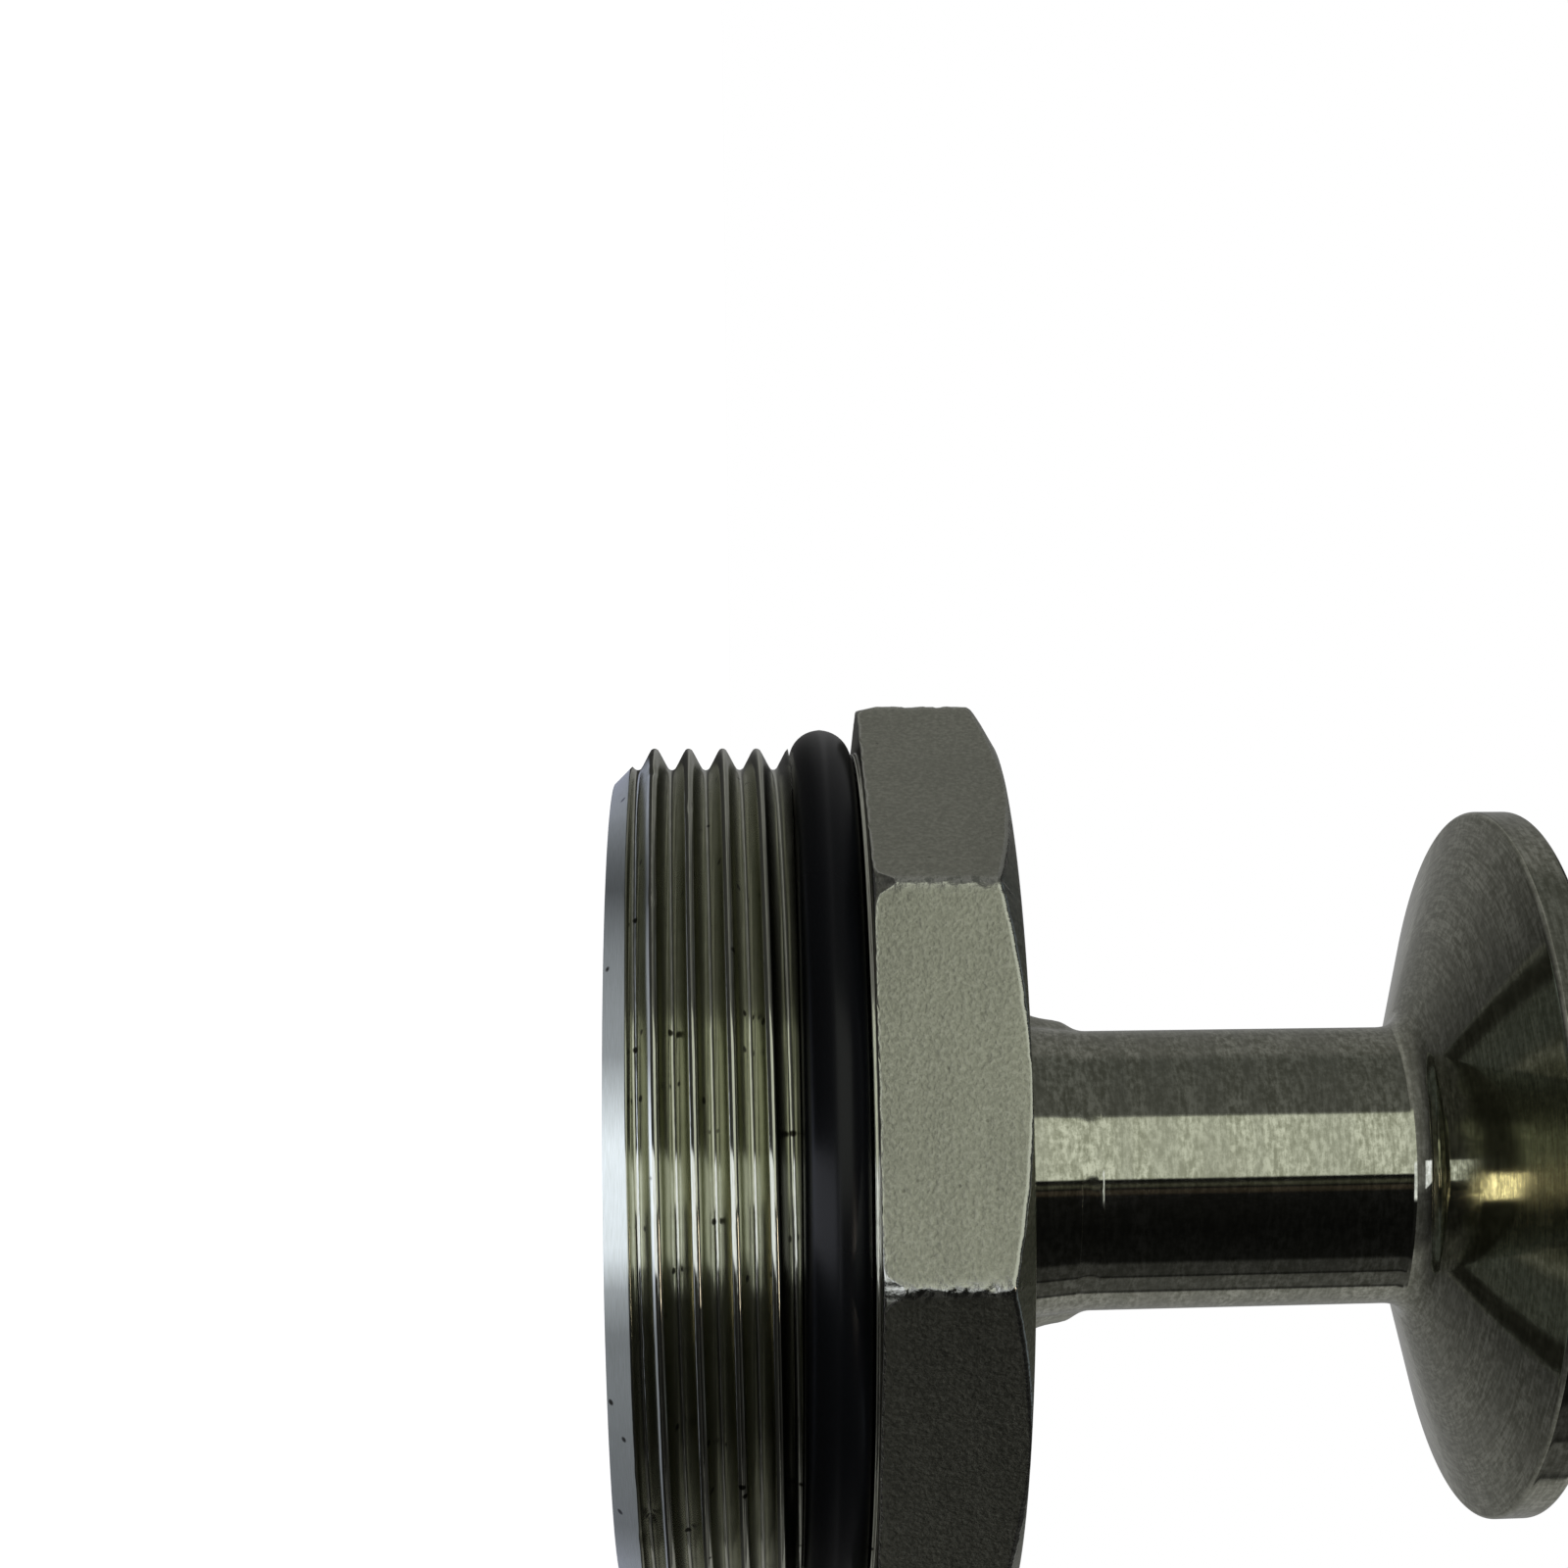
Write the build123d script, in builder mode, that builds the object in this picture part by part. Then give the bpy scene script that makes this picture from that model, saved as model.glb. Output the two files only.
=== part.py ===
from build123d import *
import math
import os

# Drum bung adapter: a cast octagon plug with a 2 inch parallel pipe thread, a rubber ring in
# the groove under its head, and a sanitary clamp ferrule welded to the boss on top.
# Millimetres, +Z up along the axis, origin in the middle of the threaded end.

# thread, 2 inch parallel pipe size, 11 turns to the inch, with flat crests and valleys
thread_diameter = 59.614
thread_pitch = 25.4 / 11
thread_flank_angle = 27.5
thread_flat_share = 1 / 6
threaded_length = 11.75
thread_start_depth = 2.4
thread_start_angle = 45
first_valley_height = 0.25
cutter_overshoot = 0.2

# rubber ring, and the groove it is stretched into
ring_section = 4.2
ring_proud = 1.25
ring_seat_clearance = 0.02
groove_side_clearance = 0.075
collar_step = 0.4
collar_height = 0.3

# octagon head
across_flats = 60.55
head_height = 9.2
head_sides = 8
corner_round = 0.5
top_chamfer_angle = 30
top_face_inset = 0.07
under_chamfer_angle = 15
under_chamfer_depth = 0.42

# flow bore, and the tube around it
bore_diameter = 16.46
tube_wall = 1.65

# boss on the head, a step wider than the tube that stands on it
boss_step = 1.07
boss_height = 5.4
boss_root_fillet = 5.2
boss_edge_chamfer = 0.15

# cored hollow inside the plug
skirt_wall = 5.2
hollow_draft_angle = 2
roof_thickness = 6.2
hollow_fillet = 2.5
mouth_chamfer = 0.5

# clamp ferrule
ferrule_length = 32.1
flange_diameter = 50.5
rim_thickness = 2.85
rim_edge_radius = 0.5
bevel_angle = 18
bevel_root_fillet = 2.25
gasket_groove_inset = 3.5
gasket_groove_radius = 1.3
bore_mouth_chamfer = 0.2

# weld between boss and tube
weld_length = 1.5
weld_crown = 0.12

# radii that follow from the sizes
thread_radius = thread_diameter / 2
groove_radius = thread_radius + ring_proud - ring_section - ring_seat_clearance
collar_radius = thread_radius - collar_step
corner_radius = across_flats / 2 / math.cos(math.pi / head_sides)
top_face_radius = across_flats / 2 - top_face_inset
mouth_radius = thread_radius - skirt_wall
bore_radius = bore_diameter / 2
tube_radius = bore_radius + tube_wall
boss_radius = tube_radius + boss_step
flange_radius = flange_diameter / 2

# thread form: flats of a share of the pitch at crest and valley, straight flanks between them
thread_flat = thread_pitch * thread_flat_share
thread_depth = (thread_pitch / 2 - thread_flat) / math.tan(math.radians(thread_flank_angle))
valley_radius = thread_radius - thread_depth

# heights that follow from the sizes
ring_height = threaded_length + groove_side_clearance + ring_section / 2
groove_top = threaded_length + ring_section + 2 * groove_side_clearance
head_bottom = groove_top + collar_height
head_top = head_bottom + head_height
hollow_roof = head_top - roof_thickness
boss_top = head_top + boss_height
face_height = boss_top + ferrule_length


def slope(angle):
    return math.tan(math.radians(angle))


def circles_of(part, radius, height):
    """Circular edges of one radius at one height."""
    at_height = part.edges().filter_by(GeomType.CIRCLE).filter_by_position(Axis.Z, height - 0.01, height + 0.01)
    return at_height.filter_by(lambda edge: abs(edge.radius - radius) < 0.01)


# plug: octagon head cut to its turned corners, then the turned body, boss, hollow and bore
with BuildPart() as bung_plug:
    with BuildSketch(Plane.XY.offset(head_bottom)):
        RegularPolygon(corner_radius, head_sides, rotation=180 / head_sides)
    extrude(amount=head_height)
    fillet(bung_plug.edges().filter_by(Axis.Z), radius=corner_round)

    envelope_radius = corner_radius + under_chamfer_depth
    with BuildSketch(Plane.XZ):
        with BuildLine():
            Polyline(
                (0, head_bottom),
                (corner_radius - under_chamfer_depth, head_bottom),
                (envelope_radius, head_bottom + 2 * under_chamfer_depth / slope(under_chamfer_angle)),
                (envelope_radius, head_top - (envelope_radius - top_face_radius) * slope(top_chamfer_angle)),
                (top_face_radius, head_top),
                (0, head_top),
                close=True,
            )
        make_face()
    revolve(axis=Axis.Z, mode=Mode.INTERSECT)

    thread_start_length = thread_start_depth / slope(thread_start_angle)
    with BuildSketch(Plane.XZ):
        with BuildLine():
            Polyline(
                (0, 0),
                (thread_radius - thread_start_depth, 0),
                (thread_radius, thread_start_length),
                (thread_radius, threaded_length),
                (groove_radius, threaded_length),
                (groove_radius, groove_top),
                (collar_radius, groove_top),
                (collar_radius, head_bottom),
                (0, head_bottom),
                close=True,
            )
        make_face()
    revolve(axis=Axis.Z)

    # right-hand thread: its valley is cut from below the end face until it runs out into the ring's groove
    cut_depth = thread_depth + cutter_overshoot
    cut_half_width = thread_flat / 2 + cut_depth * slope(thread_flank_angle)
    cut_start = first_valley_height - thread_pitch
    cut_length = threaded_length + cut_half_width - cut_start
    valley_line = Helix(thread_pitch, cut_length, valley_radius, center=(0, 0, cut_start), mode=Mode.PRIVATE)
    with BuildSketch(Plane(origin=valley_line @ 0, x_dir=(1, 0, 0), z_dir=(0, 1, 0))):
        with BuildLine():
            Polyline(
                (0, -thread_flat / 2),
                (cut_depth, -cut_half_width),
                (cut_depth, cut_half_width),
                (0, thread_flat / 2),
                close=True,
            )
        make_face()
    sweep(path=valley_line, is_frenet=True, mode=Mode.SUBTRACT)

    with BuildSketch(Plane.XY.offset(head_top)):
        Circle(boss_radius)
    extrude(amount=boss_height)
    fillet(circles_of(bung_plug, boss_radius, head_top), radius=boss_root_fillet)
    chamfer(circles_of(bung_plug, boss_radius, boss_top), length=boss_edge_chamfer)

    roof_corner = (mouth_radius - hollow_roof * slope(hollow_draft_angle), hollow_roof)
    with BuildSketch(Plane.XZ):
        with BuildLine():
            hollow_outline = Polyline((0, 0), (mouth_radius, 0), roof_corner, (0, hollow_roof), close=True)
            fillet(hollow_outline.vertices().sort_by_distance(roof_corner)[0], radius=hollow_fillet)
        make_face()
    revolve(axis=Axis.Z, mode=Mode.SUBTRACT)
    chamfer(circles_of(bung_plug, mouth_radius, 0), length=mouth_chamfer)

    with Locations((0, 0, boss_top)):
        Hole(bore_radius, depth=boss_top)
bung_plug.part.label = "bung_plug"

# rubber ring, stretched over the thread and seated in the groove
with BuildPart() as o_ring:
    with Locations((0, 0, ring_height)):
        Torus(groove_radius + ring_seat_clearance + ring_section / 2, ring_section / 2)
o_ring.part.label = "o_ring"

# ferrule: tube, bevelled flange with rounded rim, gasket groove in the sealing face, bore
with BuildPart() as clamp_ferrule:
    bevel_foot = face_height - rim_thickness - (flange_radius - tube_radius) * slope(bevel_angle)
    with BuildSketch(Plane.XZ):
        with BuildLine():
            Polyline(
                (0, boss_top),
                (tube_radius, boss_top),
                (tube_radius, bevel_foot),
                (flange_radius, face_height - rim_thickness),
                (flange_radius, face_height),
                (0, face_height),
                close=True,
            )
        make_face()
    revolve(axis=Axis.Z)
    fillet(circles_of(clamp_ferrule, tube_radius, bevel_foot), radius=bevel_root_fillet)
    rim_edges = circles_of(clamp_ferrule, flange_radius, face_height)
    rim_edges += circles_of(clamp_ferrule, flange_radius, face_height - rim_thickness)
    fillet(rim_edges, radius=rim_edge_radius)

    with BuildSketch(Plane.XZ):
        with Locations((flange_radius - gasket_groove_inset, face_height)):
            Circle(gasket_groove_radius)
    revolve(axis=Axis.Z, mode=Mode.SUBTRACT)

    with Locations((0, 0, face_height)):
        Hole(bore_radius, depth=ferrule_length)
    chamfer(circles_of(clamp_ferrule, bore_radius, face_height), length=bore_mouth_chamfer)
clamp_ferrule.part.label = "clamp_ferrule"

# weld: a ring on the boss's end that slopes down to the tube, ground smooth
with BuildPart() as weld_bead:
    weld_foot = (boss_radius - boss_edge_chamfer, boss_top)
    weld_toe = (tube_radius, boss_top + weld_length)
    weld_slope = math.atan2(weld_length, weld_foot[0] - tube_radius)
    weld_middle = (
        (weld_foot[0] + weld_toe[0]) / 2 + weld_crown * math.sin(weld_slope),
        (weld_foot[1] + weld_toe[1]) / 2 + weld_crown * math.cos(weld_slope),
    )
    with BuildSketch(Plane.XZ):
        with BuildLine():
            Line((tube_radius, boss_top), weld_foot)
            ThreePointArc(weld_foot, weld_middle, weld_toe)
            Line(weld_toe, (tube_radius, boss_top))
        make_face()
    revolve(axis=Axis.Z)
weld_bead.part.label = "weld_bead"

os.makedirs("parts", exist_ok=True)
export_step(bung_plug.part, "parts/bung_plug.step")
export_step(o_ring.part, "parts/o_ring.step")
export_step(clamp_ferrule.part, "parts/clamp_ferrule.step")
export_step(weld_bead.part, "parts/weld_bead.step")
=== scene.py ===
import math

import bpy
import numpy as np
from mathutils import Matrix, Vector


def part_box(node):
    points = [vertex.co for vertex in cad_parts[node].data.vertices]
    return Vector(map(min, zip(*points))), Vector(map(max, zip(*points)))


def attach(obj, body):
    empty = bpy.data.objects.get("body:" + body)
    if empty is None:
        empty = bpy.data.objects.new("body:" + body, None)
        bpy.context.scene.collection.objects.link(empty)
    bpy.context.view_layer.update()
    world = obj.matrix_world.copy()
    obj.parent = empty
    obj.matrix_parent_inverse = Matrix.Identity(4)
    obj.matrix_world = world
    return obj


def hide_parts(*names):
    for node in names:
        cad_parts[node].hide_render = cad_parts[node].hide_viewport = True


# Drum bung adapter: a cast octagon plug with a pipe thread, a rubber ring, a clamp ferrule and its weld.
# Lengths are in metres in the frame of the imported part; sizes given in millimetres carry mm.
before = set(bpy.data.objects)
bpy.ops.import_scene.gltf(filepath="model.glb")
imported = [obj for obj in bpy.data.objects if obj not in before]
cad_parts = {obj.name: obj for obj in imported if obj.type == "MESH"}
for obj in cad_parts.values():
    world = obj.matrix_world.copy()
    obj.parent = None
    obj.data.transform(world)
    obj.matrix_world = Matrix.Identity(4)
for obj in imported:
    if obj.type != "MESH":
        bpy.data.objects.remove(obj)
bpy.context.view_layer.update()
mm = 0.001

plugLow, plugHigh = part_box("bung_plug")
ringLow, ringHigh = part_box("o_ring")
ferruleLow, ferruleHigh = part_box("clamp_ferrule")
weldLow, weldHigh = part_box("weld_bead")

# angle of the picture about the part's axis: the camera stands this far round from -Y towards +X
pictureTurn = math.radians(10.34)
toCamera = Vector((math.sin(pictureTurn), -math.cos(pictureTurn), 0))
pictureUp = Vector((-math.cos(pictureTurn), -math.sin(pictureTurn), 0))
pictureRight = Vector((0, 0, 1))


# Rows of points become a mesh: points[i, j] is joined to its neighbours in both directions, and both
# directions close on themselves where asked. The signed volume decides which way the faces turn.
def gridMesh(name, points, closeRows, closeColumns, weights=None):
    rows, columns = points.shape[:2]
    i = np.arange(rows if closeRows else rows - 1)
    j = np.arange(columns if closeColumns else columns - 1)
    a, b = np.meshgrid(i, j, indexing="ij")
    c, d = (a + 1) % rows, (b + 1) % columns
    quads = np.stack([a * columns + b, a * columns + d, c * columns + d, c * columns + b], axis=-1)
    quads = quads.reshape(-1, 4)
    flat = points.reshape(-1, 3)
    corners = flat[quads]
    volume = np.einsum("ij,ij->i", corners[:, 0], np.cross(corners[:, 1], corners[:, 2])).sum()
    volume += np.einsum("ij,ij->i", corners[:, 0], np.cross(corners[:, 2], corners[:, 3])).sum()
    if volume < 0:
        quads = quads[:, ::-1]
    mesh = bpy.data.meshes.new(name)
    mesh.vertices.add(len(flat))
    mesh.vertices.foreach_set("co", flat.astype(np.float32).ravel())
    mesh.loops.add(quads.size)
    mesh.loops.foreach_set("vertex_index", quads.astype(np.int32).ravel())
    mesh.polygons.add(len(quads))
    mesh.polygons.foreach_set("loop_start", np.arange(0, quads.size, 4, dtype=np.int32))
    mesh.update(calc_edges=True)
    mesh.polygons.foreach_set("use_smooth", np.ones(len(quads), dtype=bool))
    for label, values in (weights or {}).items():
        layer = mesh.attributes.new(label, "FLOAT", "POINT")
        layer.data.foreach_set("value", np.ascontiguousarray(values, dtype=np.float32).ravel())
    mesh.validate()
    piece = bpy.data.objects.new(name, mesh)
    bpy.context.scene.collection.objects.link(piece)
    return piece


# A chain of corners (radius, height, rounding), each value a number or one value per angle. Each corner is
# rounded by a quadratic curve from one tangent point to the other, with a guard point beyond each end: a
# rounding takes at most 0.42 of the shorter run beside it, and a guard 0.2. A corner's fourth value asks
# for that many even rows on the straight run after it. The third result is 1 on roundings, 0 elsewhere.
def roundedChain(corners, angles, steps=4, guard=0.12 * mm):
    count = len(angles)
    place = np.array([[np.broadcast_to(v, count) for v in corner[:2]] for corner in corners])
    rows, edge = [place[0]], [0.0]

    def fill(corner, arrive):
        leave, filling = rows[-1], corner[3] if len(corner) > 3 else 0
        for t in np.arange(1, filling + 1) / (filling + 1):
            rows.append(leave + (arrive - leave) * t)
            edge.append(0.0)

    for k in range(1, len(corners) - 1):
        before, here, after = place[k - 1], place[k], place[k + 1]
        toBefore, toAfter = before - here, after - here
        lengthBefore, lengthAfter = np.hypot(*toBefore), np.hypot(*toAfter)
        unitBefore, unitAfter = toBefore / lengthBefore, toAfter / lengthAfter
        cosine = np.clip((unitBefore * unitAfter).sum(0), -0.999, 0.999)
        reach = corners[k][2] * np.sqrt((1 + cosine) / (1 - cosine))
        reach = np.minimum(reach, 0.42 * np.minimum(lengthBefore, lengthAfter))
        start, end = here + unitBefore * reach, here + unitAfter * reach
        arrive = start + unitBefore * np.minimum(guard, 0.2 * lengthBefore)
        fill(corners[k - 1], arrive)
        rows.append(arrive)
        edge.append(0.0)
        for t in np.linspace(0, 1, steps + 1):
            rows.append(start * (1 - t) ** 2 + here * 2 * t * (1 - t) + end * t ** 2)
            edge.append(1.0)
        rows.append(end + unitAfter * np.minimum(guard, 0.2 * lengthAfter))
        edge.append(0.0)
    fill(corners[-2], place[-1])
    rows.append(place[-1])
    edge.append(0.0)
    rows = np.array(rows)
    return rows[:, 0], rows[:, 1], np.array(edge)


# Radius and height at each angle become x, y, z.
def turned(radius, height, angles):
    height = np.broadcast_to(height, radius.shape)
    return np.stack([radius * np.cos(angles), radius * np.sin(angles), height], axis=-1)


# Smooth noise of a place: a sum of plane waves whose directions and phases come from a fixed seed, so that
# it has no seam round the axis. The size is how far apart its bumps are, about a sixth of a wave.
def softNoise(points, size, seed, waves=11):
    draw = np.random.default_rng(seed)
    total = np.zeros(points.shape[:-1])
    for direction, phase in zip(draw.normal(0, 1 / size, (waves, 3)), draw.uniform(0, 2 * math.pi, waves)):
        total += np.sin(points @ direction + phase)
    return total / math.sqrt(waves)


# A cubic from one value to another while t goes from 0 to 1, with the slope given at both ends.
def hermite(t, start, end, startSlope, endSlope):
    return ((2 * t ** 3 - 3 * t ** 2 + 1) * start + (t ** 3 - 2 * t ** 2 + t) * startSlope
            + (3 * t ** 2 - 2 * t ** 3) * end + (t ** 3 - t ** 2) * endSlope)


# Sizes of the plug. Angles are in degrees. The thread form's radius and depth are shares of the pitch, and
# where a flank's shade sets in and blends is a share of the depth.
plug = {
    "threadRadius": 29.807 * mm, "threadLength": 11.75 * mm, "threadStartDepth": 2.4 * mm,
    "pitch": 2.309 * mm, "crestHeight": 3.204 * mm, "flankAngle": 27.5,
    "formRadius": 0.1373, "formDepth": 0.6403, "threadWaves": 0.008 * mm, "threadWaveSize": 0.8 * mm,
    "startBlend": 0.04 * mm, "startShade": 0.45, "shadeBlend": 0.1 * mm, "flankFrom": 0.07,
    "flankBlend": 0.12,
    "ringClearance": 0.02 * mm, "grooveClearance": 0.075 * mm, "grooveRound": 0.3 * mm,
    "collarStep": 0.4 * mm, "collarHeight": 0.3 * mm, "collarRound": 0.05 * mm,
    "headHeight": 9.2 * mm, "cornerRound": 0.7 * mm, "underChamfer": 15, "underDepth": 0.42 * mm,
    "underLeast": 0.02 * mm, "underRound": 0.15 * mm, "lowRimRound": 0.3 * mm, "topChamfer": 30,
    "topFaceInset": 0.07 * mm, "edgeRound": 0.32 * mm, "topRound": 0.25 * mm, "rubbedTop": 24.6 * mm,
    "rubbedInset": 0.2 * mm, "skinInset": 0.3 * mm,
    "bossRadius": 10.95 * mm, "bossFillet": 5.2 * mm, "boreRadius": 8.23 * mm, "boreRound": 0.3 * mm,
    "roof": 6.2 * mm, "hollowDraft": 2, "hollowFillet": 2.5 * mm, "mouthRadius": 24.607 * mm,
    "mouthChamfer": 0.5 * mm, "mouthRound": 0.1 * mm, "bossLip": 0.03 * mm, "endLip": 0.15 * mm,
    "flushFoot": 2.15 * mm, "flushSlope": -0.10, "flushEnd": 10.02 * mm,
    "proudBlend": 0.86 * mm, "proudSlope": -0.35, "proudEnd": 10.80 * mm, "proudFrom": (80, 101),
    "turnSteps": 360, "clusterReach": 1.8, "heightStep": 0.145 * mm, "sideRows": 24, "topRows": 8,
    "bossRows": 16, "bossLast": 0.996, "bossCrowding": 1.5, "bossGuards": [0.999, 1.0],
    "edgeDents": 0.07 * mm, "edgeDentSize": 0.30 * mm, "cornerReach": 0.55 * mm, "sideReach": 0.35 * mm,
    "topWander": 0.7, "faceWaves": 0.010 * mm, "faceWaveSize": 1.1 * mm, "wearReach": 0.40 * mm,
    "threadSeed": 5, "rimSeed": 11, "dentSeed": 23, "faceSeed": 29,
}

acrossFlats = plugHigh.x - plugLow.x
ringSection = ringHigh.z - ringLow.z
ringMeanRadius = ringHigh.x - ringSection / 2
grooveRadius = ringHigh.x - ringSection - plug["ringClearance"]
grooveTop = ringHigh.z + plug["grooveClearance"]
headBottom = grooveTop + plug["collarHeight"]
headTop = headBottom + plug["headHeight"]
topInner = acrossFlats / 2 - plug["topFaceInset"]
cornerRadius = acrossFlats / 2 / math.cos(math.pi / 8)
# the rounding of an edge that looks sharp, and how close heights count as the same
sharp = 0.02 * mm
hair = 0.001 * mm


# Angles round the axis: even steps, with the ones near the eight corners swapped for a close cluster.
def cornerAngles():
    even = np.arange(plug["turnSteps"]) * 2 * math.pi / plug["turnSteps"]
    corners = math.pi / 8 + np.arange(8) * math.pi / 4
    away = np.abs((even[:, None] - corners + math.pi) % (2 * math.pi) - math.pi).min(1)
    cluster = np.radians([-1.5, -1.0, -0.72, -0.5, -0.3, -0.15, 0, 0.15, 0.3, 0.5, 0.72, 1.0, 1.5])
    kept = even[away > math.radians(plug["clusterReach"])]
    return np.sort(np.concatenate([kept, (corners[:, None] + cluster).ravel()]))


# Degrees round the axis from the camera's side, between -180 and 180.
def fromCameraSide(angles):
    return (np.degrees(angles) - math.degrees(pictureTurn) + 90 + 180) % 360 - 180


# Octagon with round corners, as a radius at each angle: flat distance over the cosine on a flat, and the
# far crossing with the corner's circle near a corner.
def octagonRadius(angles):
    flat = acrossFlats / 2
    off = (angles + math.pi / 8) % (math.pi / 4) - math.pi / 8
    fromCorner = math.pi / 8 - np.abs(off)
    inner = flat - plug["cornerRound"]
    centre = inner / math.cos(math.pi / 8)
    tangent = math.atan(inner * math.tan(math.pi / 8) / flat)
    across = np.sqrt(np.maximum(plug["cornerRound"] ** 2 - (centre * np.sin(fromCorner)) ** 2, 0))
    return np.where(np.abs(off) < tangent, flat / np.cos(off), centre * np.cos(fromCorner) + across)


# Whitworth form as a depth below the crest: u runs along the axis from the nearest crest. A crest arc, a
# straight flank at the flank angle, and a root arc of the same radius.
def threadDepth(u):
    pitch, flank = plug["pitch"], math.radians(plug["flankAngle"])
    radius, depth = plug["formRadius"] * pitch, plug["formDepth"] * pitch
    u = np.abs((u / pitch + 0.5) % 1 - 0.5) * pitch
    reach = radius * math.cos(flank)
    crest = radius - np.sqrt(np.maximum(radius ** 2 - u ** 2, 0))
    straight = radius * (1 - math.sin(flank)) + (u - reach) / math.tan(flank)
    root = depth - radius + np.sqrt(np.maximum(radius ** 2 - (pitch / 2 - u) ** 2, 0))
    return np.where(u < reach, crest, np.where(u < pitch / 2 - reach, straight, root))


# Small dents left on the first crests: (degrees from the camera's side, height, size and depth in mm).
# A dent is longer round the axis than along it by the stretch.
threadChips = [
    (-50, 1.6, 0.35, 0.22), (-47.5, 2.4, 0.25, 0.18), (-44, 1.2, 0.30, 0.20), (-38, 1.5, 0.30, 0.16),
    (-20, 2.6, 0.22, 0.14), (35, 3.0, 0.30, 0.18), (52, 5.3, 0.26, 0.16), (63, 2.7, 0.35, 0.2),
    (120, 2.5, 0.40, 0.22), (170, 3.8, 0.35, 0.2), (215, 2.2, 0.35, 0.22), (260, 4.1, 0.3, 0.2),
]
chipStretch = 1.6


# Radius and flank weight of the thread for each height and angle. The crest climbs one pitch in each turn,
# each chip takes away a round bump, and a soft minimum with the start's cone cuts the first crests off.
def threadSurface(angles, heights):
    turn = (angles - (pictureTurn - math.pi / 2)) / (2 * math.pi)
    u = heights[:, None] - plug["crestHeight"] - plug["pitch"] * turn
    radius = plug["threadRadius"] - threadDepth(u)
    for degrees, height, size, depth in threadChips:
        away = (fromCameraSide(angles) + degrees + 180) % 360 - 180
        round2 = (np.radians(away) * plug["threadRadius"] / (size * chipStretch * mm)) ** 2
        radius -= depth * mm * np.exp(-round2 - ((heights[:, None] / mm - height) / size) ** 2)
    points = turned(np.full_like(radius, plug["threadRadius"]), heights[:, None], angles)
    radius += plug["threadWaves"] * softNoise(points, plug["threadWaveSize"], plug["threadSeed"])
    cone = plug["threadRadius"] - plug["threadStartDepth"] + heights[:, None]
    down = threadDepth(u) / (plug["formDepth"] * plug["pitch"])
    onCone = np.clip((radius - cone) / plug["shadeBlend"] + 0.5, 0, 1)
    flank = np.clip((np.minimum(down, 1 - down) - plug["flankFrom"]) / plug["flankBlend"], 0, 1)
    flank = flank * (1 - onCone) + plug["startShade"] * onCone
    blend = plug["startBlend"]
    return -blend * np.logaddexp(-radius / blend, -np.broadcast_to(cone, radius.shape) / blend), flank


# How far the boss stands proud at each angle: it is ground flush with the tube on the camera's side, and
# keeps its step behind, from 0 to 1 over a few degrees.
def proudShare(angles):
    low, high = plug["proudFrom"]
    t = np.clip((np.abs(fromCameraSide(angles)) - low) / (high - low), 0, 1)
    return t * t * (3 - 2 * t)


# Radius of the boss for each row and angle, with the heights of the rows. Flush side: a quadratic curve
# from the head's top that leans into a slight cone. Proud side: the fillet's quarter circle, then a cubic
# towards the weld. The last rows lie close together, so that the cone's shading doesn't bend at its end.
def bossSurface(angles):
    foot, fillet, top = plug["bossRadius"] + plug["bossFillet"], plug["bossFillet"], plugHigh.z
    even = np.linspace(0, plug["bossLast"], plug["bossRows"] + 1)[1:]
    heights = np.append(even ** plug["bossCrowding"], plug["bossGuards"])
    heights = headTop + (top - headTop) * heights
    coneFoot = plug["flushEnd"] - plug["flushSlope"] * (top - headTop - plug["flushFoot"])
    lean = coneFoot - plug["flushSlope"] * plug["flushFoot"]
    t = np.sqrt(np.clip((heights - headTop) / plug["flushFoot"], 0, 1))
    curve = foot * (1 - t) ** 2 + lean * 2 * t * (1 - t) + coneFoot * t ** 2
    flush = np.where(t < 1, curve, plug["flushEnd"] + plug["flushSlope"] * (heights - top))
    rise = np.minimum(heights - headTop, fillet)
    quarter = foot - np.sqrt(fillet ** 2 - (fillet - rise) ** 2)
    start = top - plug["proudBlend"]
    below = fillet - (start - headTop)
    across = math.sqrt(fillet ** 2 - below ** 2)
    startSlope = -below / across * plug["proudBlend"]
    endSlope = plug["proudSlope"] * plug["proudBlend"]
    t = np.clip((heights - start) / plug["proudBlend"], 0, 1)
    bend = hermite(t, foot - across, plug["proudEnd"], startSlope, endSlope)
    proud = np.where(heights < start, quarter, bend)
    share = proudShare(angles)
    return flush[:, None] * (1 - share) + proud[:, None] * share, heights


# Corners of the outside: from the thread's end through the ring's groove, past the collar, over the head's
# two chamfers and in to the boss's foot. The head's rims wander up and down with their dents.
def headCorners(side, threadEnd, wander):
    under, collar = cornerRadius - plug["underDepth"], plug["threadRadius"] - plug["collarStep"]
    underDepth = np.maximum(side - under, plug["underLeast"])
    underRise = underDepth / math.tan(math.radians(plug["underChamfer"]))
    topDrop = (side - topInner) * math.tan(math.radians(plug["topChamfer"]))
    return [
        (threadEnd, plug["threadLength"], 0),
        (grooveRadius, plug["threadLength"], plug["grooveRound"]),
        (grooveRadius, grooveTop, plug["grooveRound"]),
        (collar, grooveTop, plug["collarRound"]),
        (collar, headBottom, plug["collarRound"]),
        (np.minimum(side, under), headBottom, plug["underRound"]),
        (side, headBottom + underRise + wander, plug["lowRimRound"], plug["sideRows"]),
        (side, headTop - topDrop - plug["topWander"] * np.abs(wander), plug["edgeRound"]),
        (topInner, headTop, plug["topRound"], plug["topRows"]),
        (plug["bossRadius"] + plug["bossFillet"], headTop, sharp),
    ]


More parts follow.
